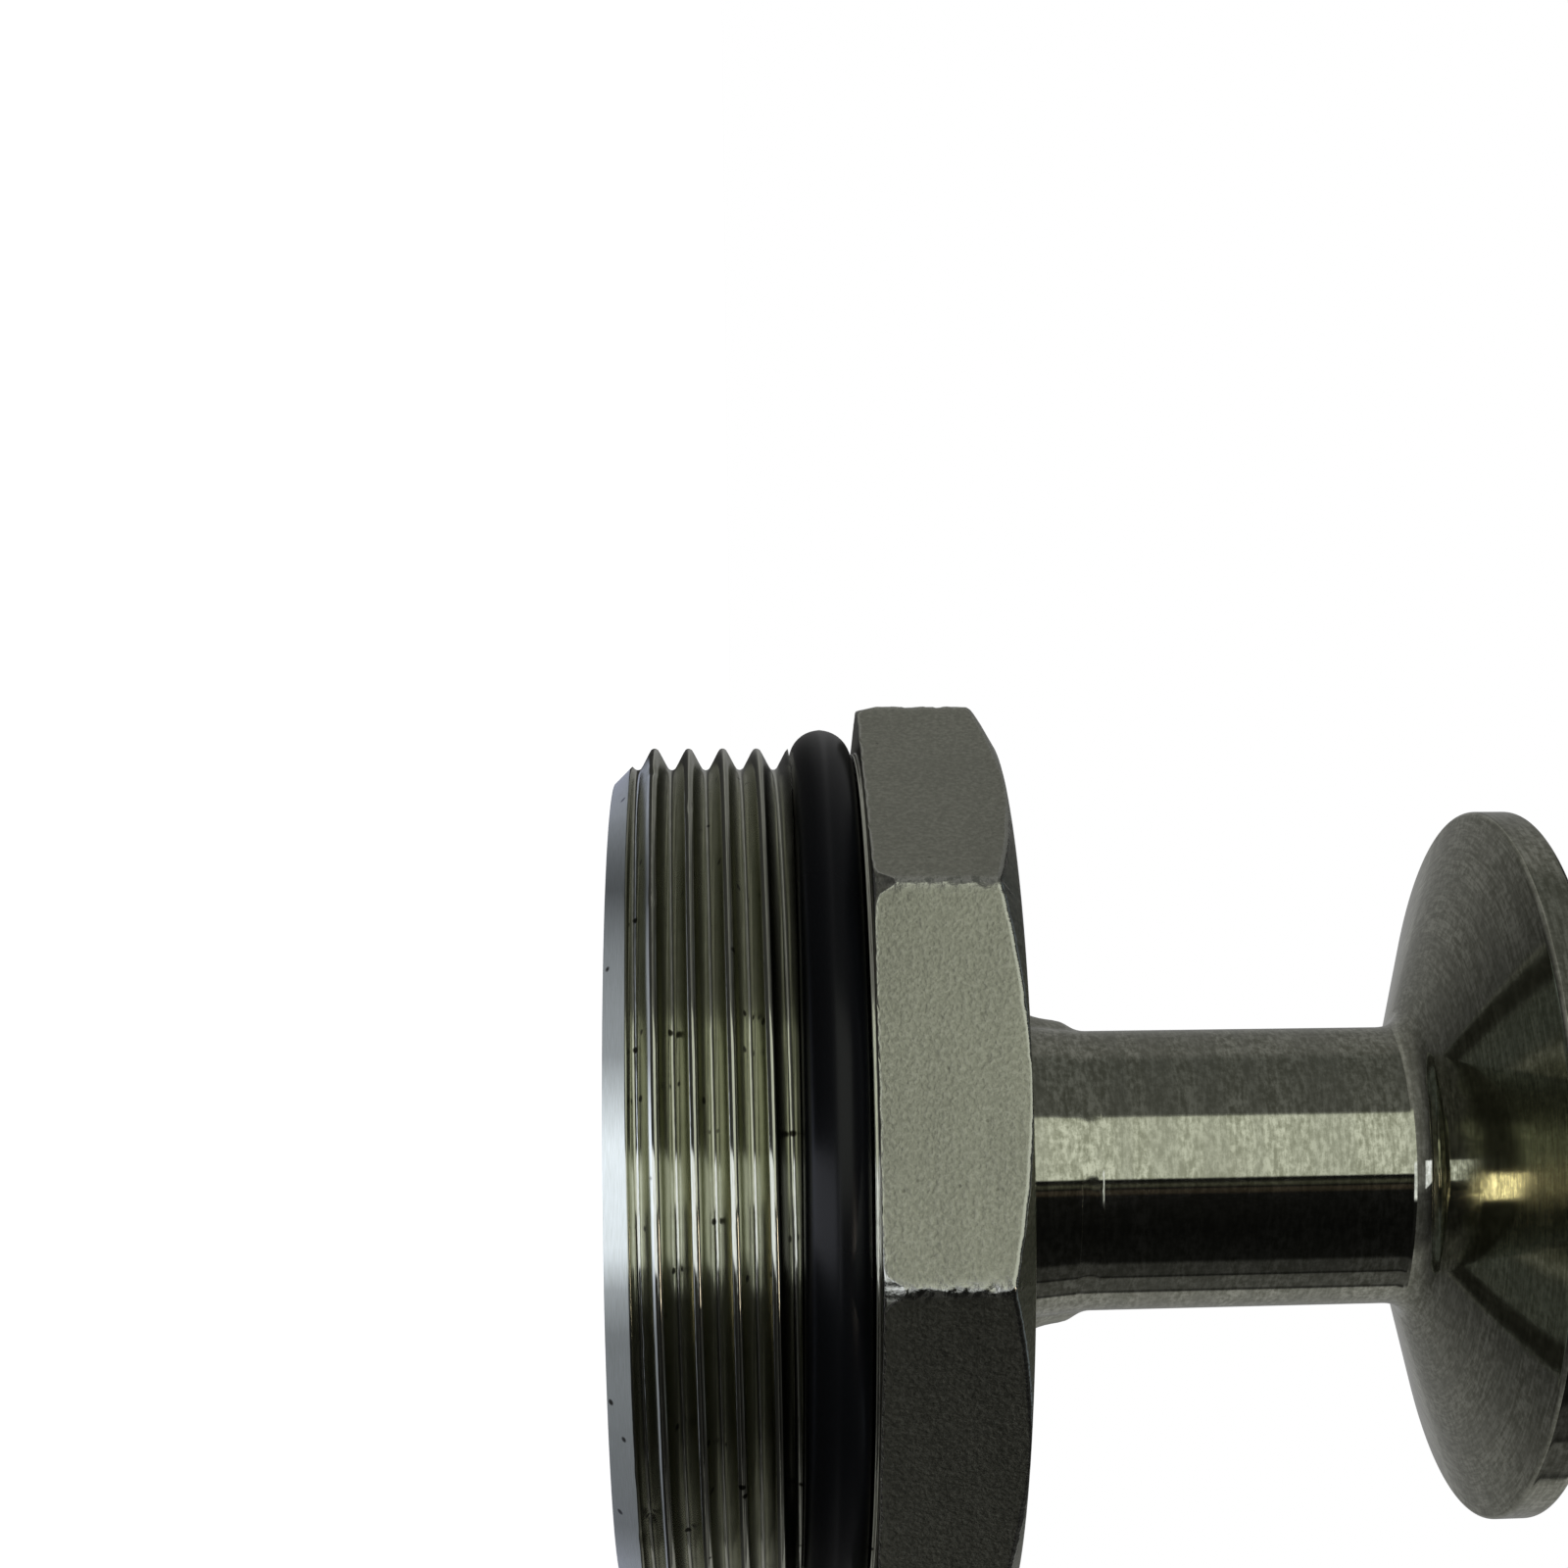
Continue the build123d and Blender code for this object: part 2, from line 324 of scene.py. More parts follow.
# Corners of the inside: from the boss's end down the bore, out under the roof, down the drafted hollow and
# out to the thread's start.
def hollowCorners(bossEnd, threadStart):
    bore, mouth = plug["boreRadius"], plug["mouthRadius"]
    roofZ = headTop - plug["roof"]
    roofRadius = mouth - roofZ * math.tan(math.radians(plug["hollowDraft"]))
    return [
        (bossEnd, plugHigh.z, 0),
        (bossEnd - plug["bossLip"], plugHigh.z, sharp / 4),
        (bore, plugHigh.z, sharp),
        (bore, roofZ, plug["boreRound"]),
        (roofRadius, roofZ, plug["hollowFillet"]),
        (mouth, plug["mouthChamfer"], plug["mouthRound"]),
        (mouth + plug["mouthChamfer"], 0, plug["mouthRound"]),
        (threadStart - plug["endLip"], 0, sharp),
        (threadStart, 0, 0),
    ]


# The plug is one closed surface of rows: thread, head, boss, and the inside back to the thread's start. Its
# finish reads four weights: cast for the cast skin, polish for the ground boss and the rubbed rim of the
# head's top, flank for the thread's flanks, and wear for edges that are rubbed bright.
def makePlug():
    angles = cornerAngles()
    side = octagonRadius(angles)
    heights = np.append(np.arange(0, plug["threadLength"], plug["heightStep"]), plug["threadLength"])
    thread, threadFlank = threadSurface(angles, heights)
    wander = softNoise(turned(side, headTop, angles), plug["edgeDentSize"], plug["rimSeed"])
    wander *= plug["edgeDents"]
    headR, headZ, worn = roundedChain(headCorners(side, thread[-1], wander), angles, steps=3)
    bossR, bossZ = bossSurface(angles)
    hollowR, hollowZ = roundedChain(hollowCorners(bossR[-1], thread[0]), angles, steps=4)[:2]
    threadZ = np.broadcast_to(heights[:, None], thread.shape)
    bossZ = np.broadcast_to(bossZ[:, None], bossR.shape)
    allR = np.concatenate([thread, headR[1:], bossR, hollowR[1:-1]])
    allZ = np.concatenate([threadZ, headZ[1:], bossZ, hollowZ[1:-1]])
    headEnd = len(thread) + len(headR) - 1
    bossEnd = headEnd + len(bossR)
    onHead = np.arange(len(allR))[:, None] < headEnd
    onTop = onHead & (allZ > headTop - hair)
    rubbed = onTop & (allR < topInner - plug["rubbedInset"]) & (allR > plug["rubbedTop"])
    skin = onHead & (allZ > headBottom - hair) & (allR > plug["threadRadius"] - plug["skinInset"])
    cast = (skin | onTop).astype(float)
    cast[headEnd:bossEnd] = proudShare(angles)
    cast[rubbed] = 0
    polish = rubbed.astype(float)
    polish[headEnd:bossEnd] = 1 - proudShare(angles)
    # dents along the head's upright edges, and faces that are not quite flat
    points = turned(allR, allZ, angles)
    off = np.abs((angles + math.pi / 8) % (math.pi / 4) - math.pi / 8)
    fromCorner = (math.pi / 8 - off) * cornerRadius
    atCorner = np.exp(-(fromCorner / plug["cornerReach"]) ** 2)
    onSide = np.exp(-((allR - side) / plug["sideReach"]) ** 2) * cast
    dents = np.abs(softNoise(points, plug["edgeDentSize"], plug["dentSeed"])) * plug["edgeDents"]
    waves = (softNoise(points, plug["faceWaveSize"], plug["faceSeed"]) - 1) * plug["faceWaves"]
    allR = allR + onSide * (waves - dents * atCorner)
    worn = np.concatenate([np.zeros(len(thread)), worn[1:], np.zeros(len(allR) - headEnd)])
    wear = np.maximum(worn[:, None] * cast, onSide * np.exp(-(fromCorner / plug["wearReach"]) ** 2))
    flank = np.concatenate([threadFlank, np.zeros((len(allR) - len(thread), len(angles)))])
    weights = {"wear": wear, "cast": cast, "polish": polish, "flank": flank}
    piece = gridMesh("bungPlug", turned(allR, allZ, angles), True, True, weights)
    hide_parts("bung_plug")
    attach(piece, "root")
    print("plug:", len(piece.data.polygons), "faces")
    return piece


ring = {"turnSteps": 360, "sectionSteps": 40, "flash": 0.02 * mm, "flashWidth": 5}


# A torus: the section is a circle with a faint mould line where it faces outwards.
def makeRing():
    around = np.arange(ring["turnSteps"]) * 2 * math.pi / ring["turnSteps"]
    section = np.arange(ring["sectionSteps"]) * 2 * math.pi / ring["sectionSteps"]
    fromOutside = np.degrees(np.abs((section + math.pi) % (2 * math.pi) - math.pi))
    flash = ring["flash"] * np.exp(-(fromOutside / ring["flashWidth"]) ** 2)
    radius = ringSection / 2 - ring["flash"] + flash
    r = ringMeanRadius + radius * np.cos(section)
    z = (ringLow.z + ringHigh.z) / 2 + radius * np.sin(section)
    points = turned(np.repeat(r[:, None], len(around), 1), z[:, None], around)
    piece = gridMesh("oRing", points, True, True)
    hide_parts("o_ring")
    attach(piece, "root")
    print("ring:", len(piece.data.polygons), "faces")
    return piece


ferrule = {
    "tubeRadius": 9.88 * mm, "boreRadius": 8.23 * mm, "footRound": 0.02 * mm, "rootFillet": 2.25 * mm,
    "bevel": 18, "rim": 2.85 * mm, "rimRound": 0.5 * mm, "grooveInset": 3.5 * mm, "grooveRadius": 1.3 * mm,
    "grooveEdge": 0.12 * mm, "grooveBottom": 1.2 * mm, "mouth": 0.2 * mm, "mouthRound": 0.03 * mm,
    "turnSteps": 320,
}


# Half section of the ferrule turned round the axis: tube, root fillet, bevel, rim, and the face with its
# round groove.
def makeFerrule():
    around = np.arange(ferrule["turnSteps"]) * 2 * math.pi / ferrule["turnSteps"]
    tube, bore, flange = ferrule["tubeRadius"], ferrule["boreRadius"], ferruleHigh.x
    top, foot = ferruleHigh.z, ferruleLow.z
    rimBack = top - ferrule["rim"]
    bevelFoot = rimBack - (flange - tube) * math.tan(math.radians(ferrule["bevel"]))
    groove, half = flange - ferrule["grooveInset"], ferrule["grooveRadius"]
    seam = foot + 0.5 * mm
    corners = [
        (bore, seam, 0),
        (bore, foot, ferrule["footRound"]),
        (tube, foot, ferrule["footRound"]),
        (tube, bevelFoot, ferrule["rootFillet"]),
        (flange, rimBack, ferrule["rimRound"]),
        (flange, top, ferrule["rimRound"]),
        (groove + half, top, ferrule["grooveEdge"]),
        (groove + half, top - half, ferrule["grooveBottom"]),
        (groove - half, top - half, ferrule["grooveBottom"]),
        (groove - half, top, ferrule["grooveEdge"]),
        (bore + ferrule["mouth"], top, ferrule["mouthRound"]),
        (bore, top - ferrule["mouth"], ferrule["mouthRound"]),
        (bore, seam, 0),
    ]
    radius, height = roundedChain(corners, around, steps=10)[:2]
    piece = gridMesh("clampFerrule", turned(radius[:-1], height[:-1], around), True, True)
    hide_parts("clamp_ferrule")
    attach(piece, "root")
    print("ferrule:", len(piece.data.polygons), "faces")
    return piece


weld = {
    "turnSteps": 320, "sectionSteps": 16, "guards": [0.004, 0.996], "toeStep": 0.004 * mm,
    "sunk": 0.02 * mm, "wave": 0.012 * mm, "waveSize": 0.9 * mm, "waveSeed": 3,
}


# The weld's outside is a cubic that carries the boss's slope on down to the tube, ground smooth and barely
# uneven, with a guard row at both ends. Its inside lies a little under the tube's surface.
def makeWeld():
    around = np.arange(weld["turnSteps"]) * 2 * math.pi / weld["turnSteps"]
    t = np.sort(np.append(np.linspace(0, 1, weld["sectionSteps"]), weld["guards"]))
    tube, length = ferrule["tubeRadius"], weldHigh.z - weldLow.z
    toe = tube + weld["toeStep"]
    share = proudShare(around)
    flush = hermite(t, plug["flushEnd"], toe, plug["flushSlope"] * length, 0)
    proud = hermite(t, plug["proudEnd"], toe, plug["proudSlope"] * length, 0)
    r = flush[:, None] * (1 - share) + proud[:, None] * share
    z = weldLow.z + length * t
    points = turned(r, z[:, None], around)
    uneven = np.abs(softNoise(points, weld["waveSize"], weld["waveSeed"])) * weld["wave"]
    outside = turned(r - uneven * np.sin(math.pi * t)[:, None], z[:, None], around)
    inside = np.full((2, len(around)), tube - weld["sunk"])
    inside = turned(inside, np.array([[weldHigh.z], [weldLow.z]]), around)
    piece = gridMesh("weldBead", np.concatenate([outside, inside]), True, True)
    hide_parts("weld_bead")
    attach(piece, "root")
    print("weld:", len(piece.data.polygons), "faces")
    return piece


# The node tree of a material or world with short calls: add a node, set its inputs, join sockets. An input
# is named, or is i and its number, and is linked when its value is a socket.
class Nodes:
    def __init__(self, owner):
        self.owner = owner
        owner.use_nodes = True
        self.tree = owner.node_tree
        self.shader = self.tree.nodes.get("Principled BSDF") or self.tree.nodes["Background"]

    def feed(self, socket, value):
        if isinstance(value, bpy.types.NodeSocket):
            self.tree.links.new(value, socket)
        else:
            socket.default_value = value

    def add(self, kind, settings=None, **inputs):
        node = self.tree.nodes.new(kind)
        for key, value in (settings or {}).items():
            setattr(node, key, value)
        for key, value in inputs.items():
            numbered = key[0] == "i" and key[1:].isdigit()
            self.feed(node.inputs[int(key[1:]) if numbered else key], value)
        return node

    def math(self, operation, a, b=0.0):
        return self.add("ShaderNodeMath", {"operation": operation}, i0=a, i1=b).outputs[0]

    def times(self, a, b):
        return self.math("MULTIPLY", a, b)

    def plus(self, a, b):
        return self.math("ADD", a, b)

    def minus(self, a, b):
        return self.math("SUBTRACT", a, b)

    def noise(self, vector, scale, detail, roughness):
        inputs = {"Vector": vector, "Scale": scale, "Detail": detail, "Roughness": roughness}
        return self.add("ShaderNodeTexNoise", **inputs).outputs["Fac"]

    def cells(self, vector, scale):
        return self.add("ShaderNodeTexVoronoi", Vector=vector, Scale=scale).outputs["Distance"]

    def weight(self, name):
        return self.add("ShaderNodeAttribute", {"attribute_name": name}).outputs["Fac"]

    def ramp(self, value, stops, blend="LINEAR"):
        node = self.add("ShaderNodeValToRGB", Fac=value)
        node.color_ramp.interpolation = blend
        while len(node.color_ramp.elements) < len(stops):
            node.color_ramp.elements.new(1.0)
        for element, (place, colour) in zip(node.color_ramp.elements, stops):
            element.position = place
            element.color = (*colour, 1) if isinstance(colour, tuple) else (colour, colour, colour, 1)
        return node.outputs["Color"]

    # a value's place between two ends, from 0 to 1 with soft ends
    def share(self, value, low, high):
        settings = {"clamp": True, "interpolation_type": "SMOOTHSTEP"}
        return self.add("ShaderNodeMapRange", settings, i0=value, i1=low, i2=high).outputs[0]

    def dot(self, vector, direction):
        settings = {"operation": "DOT_PRODUCT"}
        return self.add("ShaderNodeVectorMath", settings, i0=vector, i1=tuple(direction)).outputs["Value"]

    def mix(self, fac, a, b, blend="MIX"):
        node = self.add("ShaderNodeMix", {"data_type": "RGBA", "blend_type": blend})
        for place, value in ((0, fac), (6, a), (7, b)):
            self.feed(node.inputs[place], value)
        return node.outputs[2]

    def bump(self, height, strength, distance, normal=None):
        node = self.add("ShaderNodeBump", Height=height, Strength=strength, Distance=distance)
        if normal is not None:
            self.tree.links.new(normal, node.inputs["Normal"])
        return node.outputs["Normal"]

    def length(self, a, b):
        return self.math("SQRT", self.plus(self.times(a, a), self.times(b, b)))

    # distance from the axis, height and angle, so that a pattern can run round the part
    def aroundAxis(self):
        place = self.add("ShaderNodeTexCoord").outputs["Object"]
        x, y, height = self.add("ShaderNodeSeparateXYZ", Vector=place).outputs
        return self.length(x, y), height, self.math("ARCTAN2", y, x)

    def connect(self, **sockets):
        for key, value in sockets.items():
            self.feed(self.shader.inputs[key.replace("_", " ")], value)


# Marks of turning and polishing: noise that is stretched round the axis. Its place is the direction from
# the axis times how many marks make a radian, and height plus radius over the width of one mark.
def turningMarks(nodes, perRadian, width, detail):
    radius, height, angle = nodes.aroundAxis()
    x = nodes.times(nodes.math("COSINE", angle), perRadian)
    y = nodes.times(nodes.math("SINE", angle), perRadian)
    z = nodes.math("DIVIDE", nodes.plus(height, radius), width)
    vector = nodes.add("ShaderNodeCombineXYZ", X=x, Y=y, Z=z).outputs[0]
    return nodes.noise(vector, 1.0, detail, 0.65)


# Settings of the finishes: scales are in bumps to the metre, spans are where a pattern sets in and where it
# is full.
polished = {
    "perRadian": 9.0, "markWidth": 0.30 * mm, "mottleScale": 1900, "smearScale": 170, "ringScale": 420,
    "streakShare": 0.55, "mottleShare": 0.45,
    "tones": [(0.41, (0.40, 0.405, 0.31)), (0.5, (0.60, 0.605, 0.49)), (0.59, (0.88, 0.885, 0.74))],
    "ringSpan": (0.42, 0.66), "ringShare": 0.45, "ringTone": (0.47, 0.475, 0.39, 1),
    "smearSpan": (0.45, 0.8), "smearShare": 0.5, "smearTone": (0.45, 0.445, 0.36, 1),
    "flangeSpan": (10.4 * mm, 12.5 * mm), "flangeRough": 0.03, "smearRough": 0.09, "flangeSmooth": 0.7,
    "relief": 0.0015 * mm, "bump": 0.9,
}


# Colour, roughness and bump of the polished steel: streaks round the axis with small mottles between them,
# dulled along rings and in smears. The flange is a little rougher than the tube and has less relief.
def polishedFinish(nodes):
    place = nodes.add("ShaderNodeTexCoord").outputs["Object"]
    radius, height = nodes.aroundAxis()[:2]
    streaks = turningMarks(nodes, polished["perRadian"], polished["markWidth"], 3.0)
    mottles = nodes.noise(place, polished["mottleScale"], 3, 0.7)
    smears = nodes.noise(place, polished["smearScale"], 3, 0.6)
    alongRings = nodes.add("ShaderNodeCombineXYZ", X=height, Y=radius, Z=0.0).outputs[0]
    rings = nodes.noise(alongRings, polished["ringScale"], 2, 0.5)
    blend = nodes.plus(nodes.times(streaks, polished["streakShare"]),
                       nodes.times(mottles, polished["mottleShare"]))
    ringShare = nodes.times(nodes.share(rings, *polished["ringSpan"]), polished["ringShare"])
    smearShare = nodes.times(nodes.share(smears, *polished["smearSpan"]), polished["smearShare"])
    colour = nodes.ramp(blend, polished["tones"])
    colour = nodes.mix(ringShare, colour, polished["ringTone"])
    colour = nodes.mix(smearShare, colour, polished["smearTone"])
    onFlange = nodes.share(radius, *polished["flangeSpan"])
    rough = nodes.plus(nodes.times(onFlange, polished["flangeRough"]),
                       nodes.times(smears, polished["smearRough"]))
    relief = nodes.times(blend, nodes.minus(1.0, nodes.times(onFlange, polished["flangeSmooth"])))
    return colour, rough, nodes.bump(relief, polished["bump"], polished["relief"])


castSkin = {
    "grainScale": 3300, "patchScale": 160, "pitScale": 620,
    "tones": [(0.35, (0.42, 0.425, 0.345)), (0.5, (0.51, 0.515, 0.42)), (0.64, (0.63, 0.635, 0.53))],
    "patchSpan": (0.4, 0.75), "patchShare": 0.20, "patchTone": (0.36, 0.365, 0.30, 1),
    "pitSpan": (0.10, 0.04), "pitTone": (0.12, 0.12, 0.09, 1), "pitReach": 0.25, "pitDepth": 1.4,
    "wornShare": 0.65, "wornTone": (0.78, 0.79, 0.72, 1), "rough": 0.25, "grainRough": 0.16,
    "wornSmooth": 0.16, "relief": 0.04 * mm, "bump": 0.9,
}
threadSkin = {
    "perRadian": 22.0, "markWidth": 0.07 * mm, "relief": 0.004 * mm, "bump": 0.8,
    "crestTones": ((0.56, 0.57, 0.44, 1), (0.90, 0.91, 0.80, 1)),
    "flankTones": ((0.32, 0.33, 0.23, 1), (0.50, 0.51, 0.38, 1)),
    # painted shade: the last valley's flanks by the ring turn near black, for shade and the black ring's
    # reflection
    "valleyShadeSpan": (9.6 * mm, 10.1 * mm), "valleyShadeShare": 0.85, "valleyShadeTone": (0.02, 0.02, 0.015, 1),
    "nickScale": 420, "nickSpan": (0.12, 0.07), "nickTone": (0.05, 0.05, 0.035, 1),
    "rough": 0.05, "patchRough": 0.12, "flankRough": 0.12,
}


# Cast skin: speckled grain, soft patches, pits, and edges rubbed bright. Colour, roughness and height.
def castFinish(nodes, place, patches):
    wear = nodes.weight("wear")
    grain = nodes.noise(place, castSkin["grainScale"], 3, 0.6)
    pits = nodes.cells(place, castSkin["pitScale"])
    patchShare = nodes.times(nodes.share(patches, *castSkin["patchSpan"]), castSkin["patchShare"])
    pitShare = nodes.times(nodes.share(pits, *castSkin["pitSpan"]), grain)
    colour = nodes.ramp(grain, castSkin["tones"])
    colour = nodes.mix(patchShare, colour, castSkin["patchTone"])
    colour = nodes.mix(pitShare, colour, castSkin["pitTone"])
    colour = nodes.mix(nodes.times(wear, castSkin["wornShare"]), colour, castSkin["wornTone"])
    rough = nodes.plus(nodes.times(grain, castSkin["grainRough"]), castSkin["rough"])
    rough = nodes.minus(rough, nodes.times(wear, castSkin["wornSmooth"]))
    pitHeight = nodes.times(nodes.math("MINIMUM", pits, castSkin["pitReach"]), castSkin["pitDepth"])
    return colour, rough, nodes.plus(grain, pitHeight)


# Thread: fine turning marks, darker flanks, painted shade on the flanks of the last valley by the ring,
# standing for shade and the black ring's reflection, and a few dark nicks. Colour, roughness and the marks.
def threadFinish(nodes, place, patches):
    flank = nodes.weight("flank")
    height = nodes.add("ShaderNodeSeparateXYZ", Vector=place).outputs["Z"]
    marks = turningMarks(nodes, threadSkin["perRadian"], threadSkin["markWidth"], 2.0)
    nicks = nodes.cells(place, threadSkin["nickScale"])
    # painted shade and painted reflection of the black ring on the flanks near it
    valleyShade = nodes.times(nodes.share(height, *threadSkin["valleyShadeSpan"]), flank)
    flankTone = nodes.mix(marks, *threadSkin["flankTones"])
    colour = nodes.mix(flank, nodes.mix(marks, *threadSkin["crestTones"]), flankTone)
    colour = nodes.mix(nodes.times(valleyShade, threadSkin["valleyShadeShare"]), colour, threadSkin["valleyShadeTone"])
    colour = nodes.mix(nodes.share(nicks, *threadSkin["nickSpan"]), colour, threadSkin["nickTone"])
    rough = nodes.plus(nodes.times(patches, threadSkin["patchRough"]), threadSkin["rough"])
    rough = nodes.plus(rough, nodes.times(flank, threadSkin["flankRough"]))
    return colour, rough, marks


# The plug's three finishes, mixed by its weights: thread, cast skin over it, polish over both. The skin's
# bump is times its weight, and the turning marks' bump is only where neither skin nor polish is.
def castSteel():
    nodes = Nodes(bpy.data.materials.new("castSteel"))
    place = nodes.add("ShaderNodeTexCoord").outputs["Object"]
    cast, polish = nodes.weight("cast"), nodes.weight("polish")
    patches = nodes.noise(place, castSkin["patchScale"], 3, 0.6)
    castTone, castRough, castHeight = castFinish(nodes, place, patches)
    threadTone, threadRough, marks = threadFinish(nodes, place, patches)
    polishTone, polishRough = polishedFinish(nodes)[:2]
    colour = nodes.mix(polish, nodes.mix(cast, threadTone, castTone), polishTone)
    rough = nodes.add("ShaderNodeMix", i0=cast, i2=threadRough, i3=castRough).outputs[0]
    rough = nodes.add("ShaderNodeMix", i0=polish, i2=rough, i3=polishRough).outputs[0]
    onThread = nodes.minus(1.0, nodes.math("MAXIMUM", cast, polish))
    normal = nodes.bump(nodes.times(castHeight, cast), castSkin["bump"], castSkin["relief"])
    marks = nodes.times(marks, onThread)
    normal = nodes.bump(marks, threadSkin["bump"], threadSkin["relief"], normal)
    nodes.connect(Base_Color=colour, Roughness=rough, Normal=normal, Metallic=1.0)
    return nodes.owner


# The polished finish alone, for the ferrule.
def polishedSteel():
    nodes = Nodes(bpy.data.materials.new("polishedSteel"))
    colour, rough, normal = polishedFinish(nodes)
    nodes.connect(Base_Color=colour, Roughness=rough, Normal=normal, Metallic=1.0)
    return nodes.owner


weldSkin = {"scratchScale": 1500, "scratchRough": 0.05, "relief": 0.006 * mm, "bump": 0.5}


# The polished finish with fine scratches over it.
def weldSteel():
    nodes = Nodes(bpy.data.materials.new("weldSteel"))
    place = nodes.add("ShaderNodeTexCoord").outputs["Object"]
    colour, rough, normal = polishedFinish(nodes)
    scratches = nodes.noise(place, weldSkin["scratchScale"], 3, 0.6)
    rough = nodes.plus(rough, nodes.times(scratches, weldSkin["scratchRough"]))
    normal = nodes.bump(scratches, weldSkin["bump"], weldSkin["relief"], normal)
    nodes.connect(Base_Color=colour, Roughness=rough, Normal=normal, Metallic=1.0)
    return nodes.owner


rubber = {
    "grainScale": 2600, "filmScale": 60,
    "tones": ((0.0035, 0.0040, 0.0052, 1), (0.0075, 0.0082, 0.0105, 1)),
    "rough": 0.20, "filmRough": 0.14, "relief": 0.02 * mm, "bump": 0.2, "specular": 0.32,
}


# Black rubber with a fine grain, under a film that makes it lighter and duller in broad patches.
def ringRubber():
    nodes = Nodes(bpy.data.materials.new("ringRubber"))
    place = nodes.add("ShaderNodeTexCoord").outputs["Object"]
    grain = nodes.noise(place, rubber["grainScale"], 3, 0.6)
    film = nodes.noise(place, rubber["filmScale"], 2, 0.5)
    colour = nodes.mix(film, *rubber["tones"])
    rough = nodes.plus(nodes.times(film, rubber["filmRough"]), rubber["rough"])
    normal = nodes.bump(grain, rubber["bump"], rubber["relief"])
    nodes.connect(Base_Color=colour, Roughness=rough, Normal=normal)
    nodes.shader.inputs["Specular IOR Level"].default_value = rubber["specular"]
    return nodes.owner


# The floor is the paper that the part stands on, and the lights aim at a height on the part's axis. Heights
# of the room's layers are sines of the angle above the floor.
studio = {
    "floorSize": 8.0, "paperTone": (0.8, 0.8, 0.8, 1), "paperGlow": 0.93, "white": (1, 1, 1, 1),
    "aim": 0.030,
    "horizonTop": (0.095, 0.115), "wallTop": (0.50, 0.58), "panelTop": (0.745, 0.770),
    "ceilingBottom": (0.79, 0.83), "panelTone": (0.03, 0.03, 0.03, 1),
}

# What the steel sees round it, as (angle from the camera's side towards the picture's top, colour), in
# layers by height: close over the floor, level with the part, higher up, and the ceiling by how far it lies
# in front.
horizonStrips = [
    (-180, 0.34), (-166, 0.22), (-122, 0.22), (-116, 0.08), (-100, 0.08), (-84, 0.037), (-81, 0.008),
    (-30, 0.010), (-27.5, (0.95, 0.98, 1.05)), (0.5, (0.95, 0.98, 1.05)), (2, (0.60, 0.62, 0.56)),
    (43, (0.60, 0.62, 0.56)), (46, 0.20), (80, 0.25), (140, 0.26), (166, 0.22), (180, 0.34),
]
roomStrips = [
    (-180, 0.34), (-166, 0.22), (-122, 0.24), (-119.5, 0.03), (-117.5, 0.03), (-116, 0.08), (-100, 0.08),
    (-99, 0.012), (-97.5, 0.012), (-96, 0.037), (-84, 0.037), (-81, 0.008), (-50, 0.005), (-21, 0.008),
    (-19, (0.040, 0.032, 0.024)), (-16.5, (0.036, 0.030, 0.024)), (-15.5, 0.006), (-14.6, 0.006),
    (-13.8, (0.06, 0.06, 0.045)), (-12, (0.06, 0.06, 0.045)), (-11, 0.008), (-8.2, 0.008),
    (-7.2, (0.60, 0.62, 0.56)), (42, (0.60, 0.62, 0.56)), (44, (0.105, 0.107, 0.103)),
    (100, (0.100, 0.103, 0.100)), (110, 0.155), (141, 0.155), (166, 0.22), (180, 0.34),
]
upperStrips = [
    (-180, 0.022), (-8.2, 0.015), (-7.2, (0.60, 0.62, 0.56)), (42, (0.60, 0.62, 0.56)), (44, 0.06),
    (180, 0.022),
]
ceilingTones = [(0.30, (0.17, 0.20, 0.23)), (0.55, (0.03, 0.03, 0.03))]
# a lamp under the ceiling, as ranges of angle and of height with soft ends
lamp = {
    "angles": (-43, -13), "heights": (0.762, 0.812), "softAngle": 2.0, "softHeight": 0.005,
    "colour": (4.2, 3.6, 3.0, 1),
}

# What the steel sees in the paper it stands on is a painted glow, a painted reflection of light and shade:
# painted light and shade by angle close round the foot, painted shade near the foot that lifts with
# distance in metres further out, painted shade again by angle, and a painted pool of window light in front
# that starts at the foot and widens as it goes. The painted window's sizes are in millimetres.
paintedFootTones = [
    (-180, 0.24), (-64, 0.22), (-52, 0.14), (-35, 0.17), (-27, 0.20), (-20, 0.20), (-14, 0.38), (-9, 0.90),
    (4, 1.0), (11, 0.585), (15.5, 0.335), (23, 0.29), (31, 0.22), (36, 0.15), (41, 0.085), (47, 0.12),
    (60, 0.24), (180, 0.24),
]
paintedFloorTones = [(0.030, 0.030), (0.055, 0.045), (0.080, 0.085), (0.140, 0.14), (0.300, 0.16), (1.0, 0.20)]
paintedFloorShade = [(-180, 1.0), (-78, 1.0), (-64, 0.35), (-24, 0.35), (-14, 1.0), (180, 1.0)]
paintedWindow = {
    "footRadius": 30.4, "footBlend": 0.8, "start": 31.0, "high": 2.1, "low": -6.7, "highSlope": 0.035,
    "lowSlope": -0.42, "soft": 0.9, "near": (20.0, 24.0), "far": (118.0, 100.0),
    "tint": (0.98, 1.01, 1.12, 1), "footTint": (1.37, 1.47, 1.90, 1),
}

# Each light: angle round the axis from the camera's side towards the picture's top, height of its middle,
# distance, width round, length along the axis, brightness, colour.
softboxes = {
    "keyBox": (22, 0.30, 0.60, 0.62, 0.56, 0.9, (1.0, 0.99, 0.95)),
    "backBox": (165, 0.45, 0.70, 0.50, 0.50, 0.6, (0.96, 0.98, 1.0)),
}


# A light's place is its distance out from the axis at its angle, and its height. It looks at the part.
def placeAround(piece, angle, height, distance):
    turn = math.radians(angle)
    out = toCamera * math.cos(turn) + pictureUp * math.sin(turn)
    spot = out * distance + Vector((0, 0, height))
    aim = Vector((0, 0, studio["aim"])) - spot
    piece.rotation_mode = "QUATERNION"
    piece.rotation_quaternion = aim.to_track_quat("-Z", "Y")
    piece.location = spot


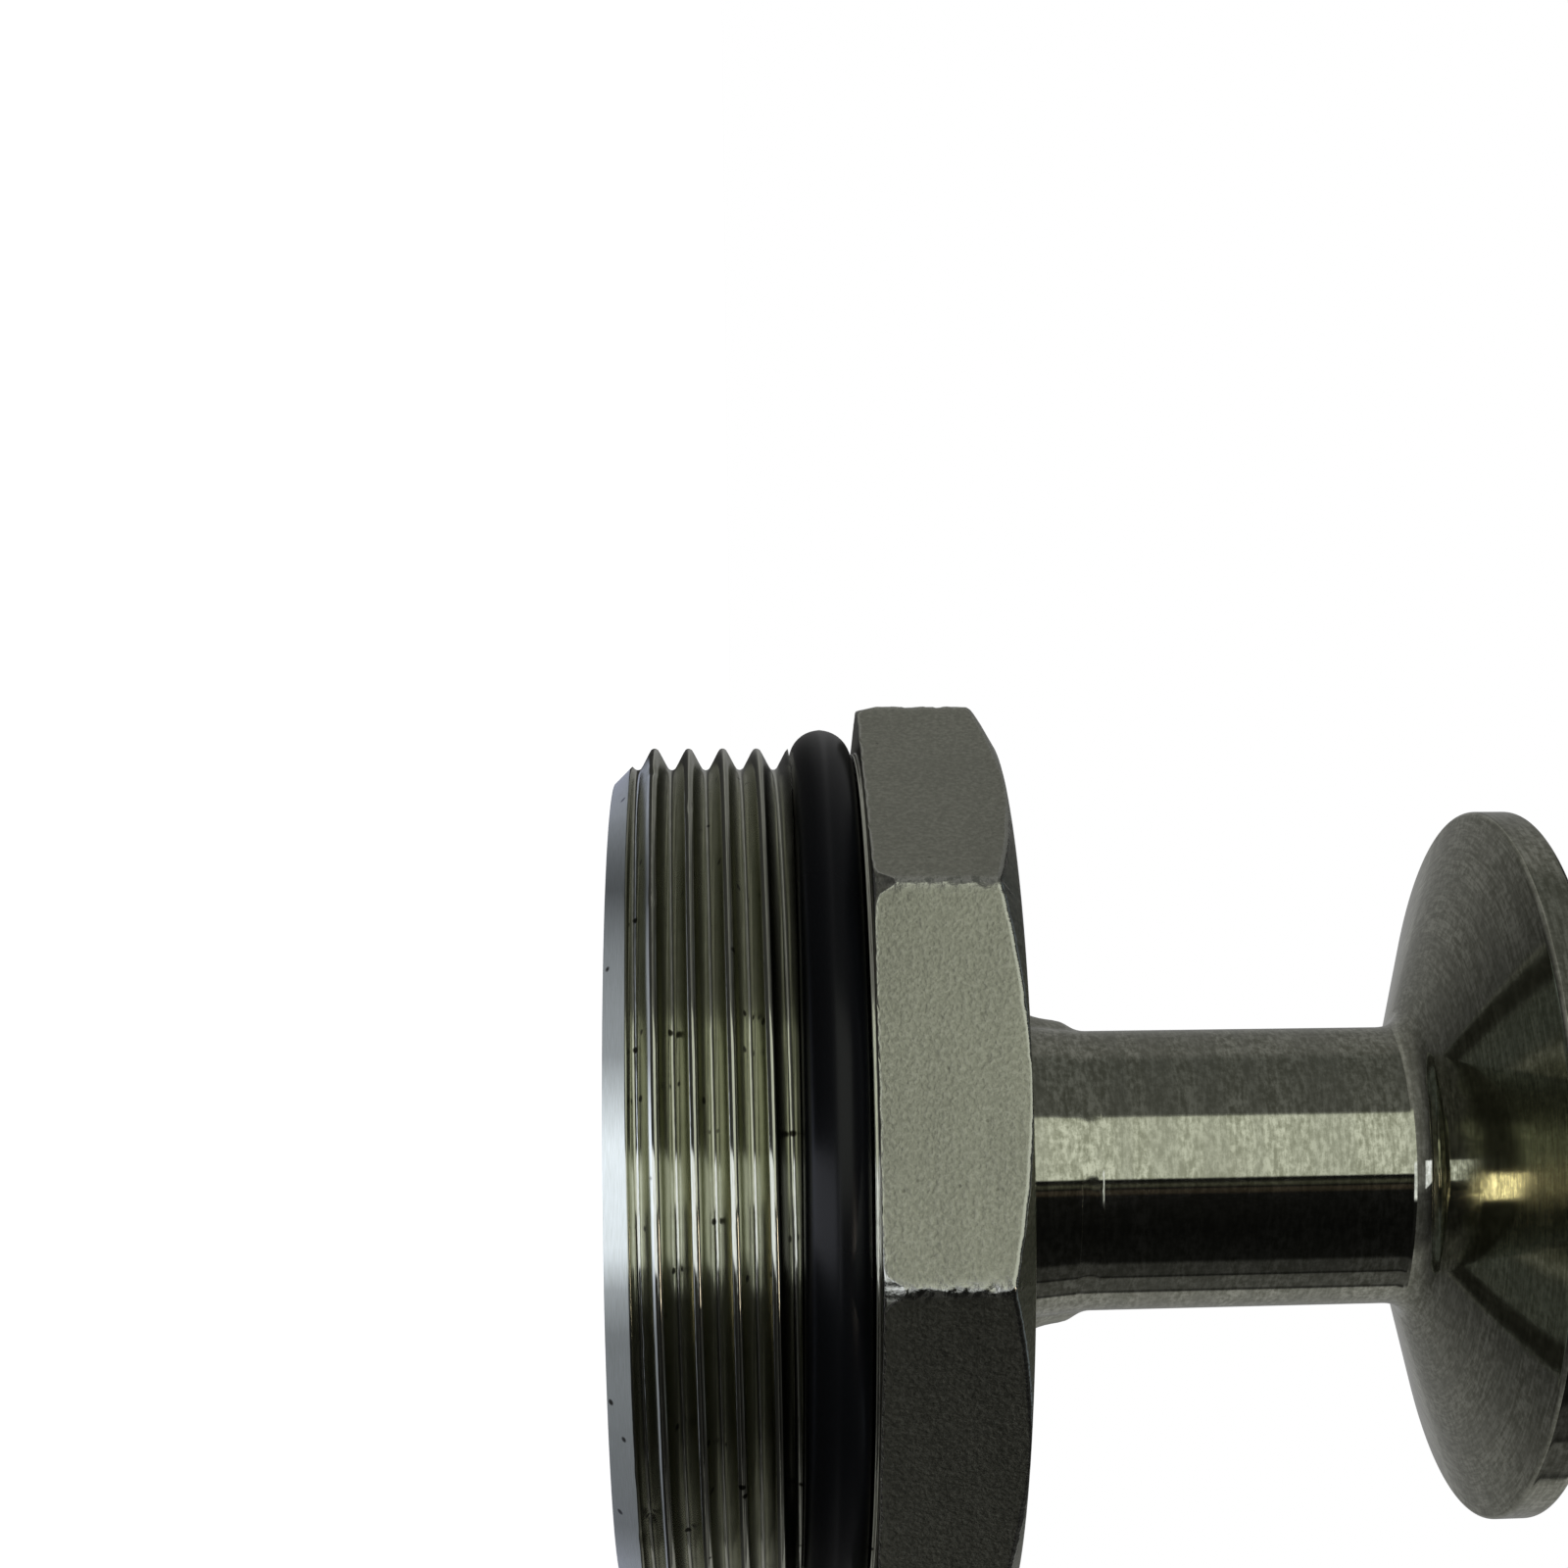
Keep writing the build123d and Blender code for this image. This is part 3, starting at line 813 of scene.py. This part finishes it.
# A light's energy is its brightness times pi times its area.
def makeLights():
    for name, (angle, height, distance, width, length, brightness, colour) in softboxes.items():
        light = bpy.data.lights.new(name, "AREA")
        light.shape = "RECTANGLE"
        light.size, light.size_y = width, length
        light.energy = brightness * math.pi * width * length
        light.color = colour
        box = bpy.data.objects.new(name, light)
        bpy.context.scene.collection.objects.link(box)
        placeAround(box, angle, height, distance)
        box.visible_camera = False
        box.visible_glossy = False
    print("lights:", len(softboxes))


# Angle from the camera's side towards the picture's top as a place on a ramp: -180 degrees is 0, 180 is 1.
def rampPlace(nodes, across, up):
    turn = nodes.math("DIVIDE", nodes.math("ARCTAN2", up, across), 2 * math.pi)
    return nodes.plus(turn, 0.5)


# Stops in degrees as stops of such a ramp.
def fromDegrees(stops):
    return [((degrees + 180) / 360, colour) for degrees, colour in stops]


# The painted pool of window light lies between two lines that start at the foot and spread, from the near
# end to the far one.
def paintedWindowPatch(nodes, across, up):
    soft = paintedWindow["soft"] / 2
    past = nodes.minus(across, paintedWindow["start"])
    high = nodes.plus(nodes.times(past, paintedWindow["highSlope"]), paintedWindow["high"])
    low = nodes.plus(nodes.times(past, paintedWindow["lowSlope"]), paintedWindow["low"])
    underHigh = nodes.share(nodes.minus(high, up), -soft, soft)
    overLow = nodes.share(nodes.minus(up, low), -soft, soft)
    inFront = nodes.times(nodes.share(across, *paintedWindow["near"]), nodes.share(across, *paintedWindow["far"]))
    return nodes.times(nodes.times(underHigh, overLow), inFront)


# The floor is plain white paper, lit by the lights and glowing where the camera sees it. Glossy rays see a
# painted glow instead, which the steel shows as painted reflection: tones by angle at the foot, by distance
# times angle further out, and the painted window light's patch.
def makeFloor():
    half = studio["floorSize"] / 2
    mesh = bpy.data.meshes.new("floor")
    corners = [(-half, -half, 0), (half, -half, 0), (half, half, 0), (-half, half, 0)]
    mesh.from_pydata(corners, [], [(0, 1, 2, 3)])
    floor = bpy.data.objects.new("floor", mesh)
    bpy.context.scene.collection.objects.link(floor)
    nodes = Nodes(bpy.data.materials.new("paperWithPaintedReflection"))
    path = nodes.add("ShaderNodeLightPath").outputs
    glow = nodes.plus(path["Is Camera Ray"], path["Is Transmission Ray"])
    glow = nodes.times(glow, studio["paperGlow"])
    nodes.connect(Base_Color=studio["paperTone"], Roughness=1.0)
    nodes.connect(Emission_Color=studio["white"], Emission_Strength=glow)
    nodes.shader.inputs["Specular IOR Level"].default_value = 0.0
    place = nodes.add("ShaderNodeTexCoord").outputs["Object"]
    across = nodes.times(nodes.dot(place, toCamera), 1 / mm)
    up = nodes.times(nodes.dot(place, pictureUp), 1 / mm)
    distance = nodes.length(across, up)
    turn = rampPlace(nodes, across, up)
    # painted light and shade for glossy rays: bright towards the camera's side and dark elsewhere round the
    # foot, dark near the foot and by angle further out, and a painted pool of window light
    foot = nodes.ramp(turn, fromDegrees(paintedFootTones))
    foot = nodes.mix(1.0, foot, paintedWindow["footTint"], "MULTIPLY")
    outer = nodes.ramp(nodes.times(distance, mm), paintedFloorTones)
    outer = nodes.mix(1.0, outer, nodes.ramp(turn, fromDegrees(paintedFloorShade)), "MULTIPLY")
    atFoot = nodes.share(distance, paintedWindow["footRadius"] + paintedWindow["footBlend"], paintedWindow["footRadius"])
    paintedReflection = nodes.mix(paintedWindowPatch(nodes, across, up), outer, paintedWindow["tint"])
    paintedReflection = nodes.mix(atFoot, paintedReflection, foot)
    light = nodes.add("ShaderNodeEmission", Color=paintedReflection, Strength=1.0).outputs[0]
    paper = nodes.shader.outputs[0]
    surface = nodes.add("ShaderNodeMixShader", i0=path["Is Glossy Ray"], i1=paper, i2=light).outputs[0]
    nodes.tree.links.new(surface, nodes.tree.nodes["Material Output"].inputs["Surface"])
    mesh.materials.append(nodes.owner)
    print("floor:", studio["floorSize"], "m")


# The room that the steel mirrors: each layer covers the one below from its height on, and the lamp is a box
# in angle and height over them. The camera itself sees white.
def makeWorld():
    world = bpy.data.worlds.new("room")
    bpy.context.scene.world = world
    nodes = Nodes(world)
    way = nodes.add("ShaderNodeTexCoord").outputs["Generated"]
    across, up = nodes.dot(way, toCamera), nodes.dot(way, pictureUp)
    height = nodes.add("ShaderNodeSeparateXYZ", Vector=way).outputs["Z"]
    place = rampPlace(nodes, across, up)
    layers = [
        ("horizonTop", nodes.ramp(place, fromDegrees(roomStrips))),
        ("wallTop", nodes.ramp(place, fromDegrees(upperStrips))),
        ("panelTop", studio["panelTone"]),
        ("ceilingBottom", nodes.ramp(nodes.plus(nodes.times(across, 0.5), 0.5), ceilingTones)),
    ]
    room = nodes.ramp(place, fromDegrees(horizonStrips))
    for start, tone in layers:
        room = nodes.mix(nodes.share(height, *studio[start]), room, tone)
    degrees = nodes.minus(nodes.times(place, 360.0), 180.0)
    onLamp = []
    for value, ends, soft in ((degrees, "angles", "softAngle"), (height, "heights", "softHeight")):
        (low, high), blur = lamp[ends], lamp[soft]
        above = nodes.share(value, low - blur, low + blur)
        onLamp.append(nodes.times(above, nodes.share(value, high + blur, high - blur)))
    room = nodes.mix(nodes.times(*onLamp), room, lamp["colour"])
    path = nodes.add("ShaderNodeLightPath").outputs
    nodes.connect(Color=nodes.mix(path["Is Camera Ray"], room, studio["white"]), Strength=1.0)
    print("world:", len(layers) + 1, "layers")


cameraView = {
    "lens": 61.10, "sensor": 36, "distance": 0.187554, "height": 0.008084,
    "yaw": 6.480, "pitch": -3.478, "roll": 1.089, "shiftX": -0.1625, "shiftY": 0.14375, "clip": (0.01, 50),
}


# The camera stands level with the thread, with the part's axis along the picture's width, and is then
# turned by three small angles. The shift puts the part's axis off centre, as in a crop.
def makeCamera():
    data = bpy.data.cameras.new("camera")
    data.lens, data.sensor_width = cameraView["lens"], cameraView["sensor"]
    data.shift_x, data.shift_y = cameraView["shiftX"], cameraView["shiftY"]
    data.clip_start, data.clip_end = cameraView["clip"]
    camera = bpy.data.objects.new("camera", data)
    bpy.context.scene.collection.objects.link(camera)
    square = Matrix((pictureRight, pictureUp, toCamera)).transposed()
    turn = Matrix.Rotation(-math.radians(cameraView["yaw"]), 3, "Y")
    turn = turn @ Matrix.Rotation(-math.radians(cameraView["pitch"]), 3, "X")
    turn = turn @ Matrix.Rotation(-math.radians(cameraView["roll"]), 3, "Z")
    place = toCamera * cameraView["distance"] + pictureRight * cameraView["height"]
    camera.matrix_world = Matrix.Translation(place) @ (square @ turn).to_4x4()
    bpy.context.scene.camera = camera
    print("camera:", cameraView["lens"], "mm lens")


makePlug().data.materials.append(castSteel())
makeRing().data.materials.append(ringRubber())
makeFerrule().data.materials.append(polishedSteel())
makeWeld().data.materials.append(weldSteel())
makeFloor()
makeWorld()
makeLights()
makeCamera()
bpy.context.scene.view_settings.view_transform = "Standard"
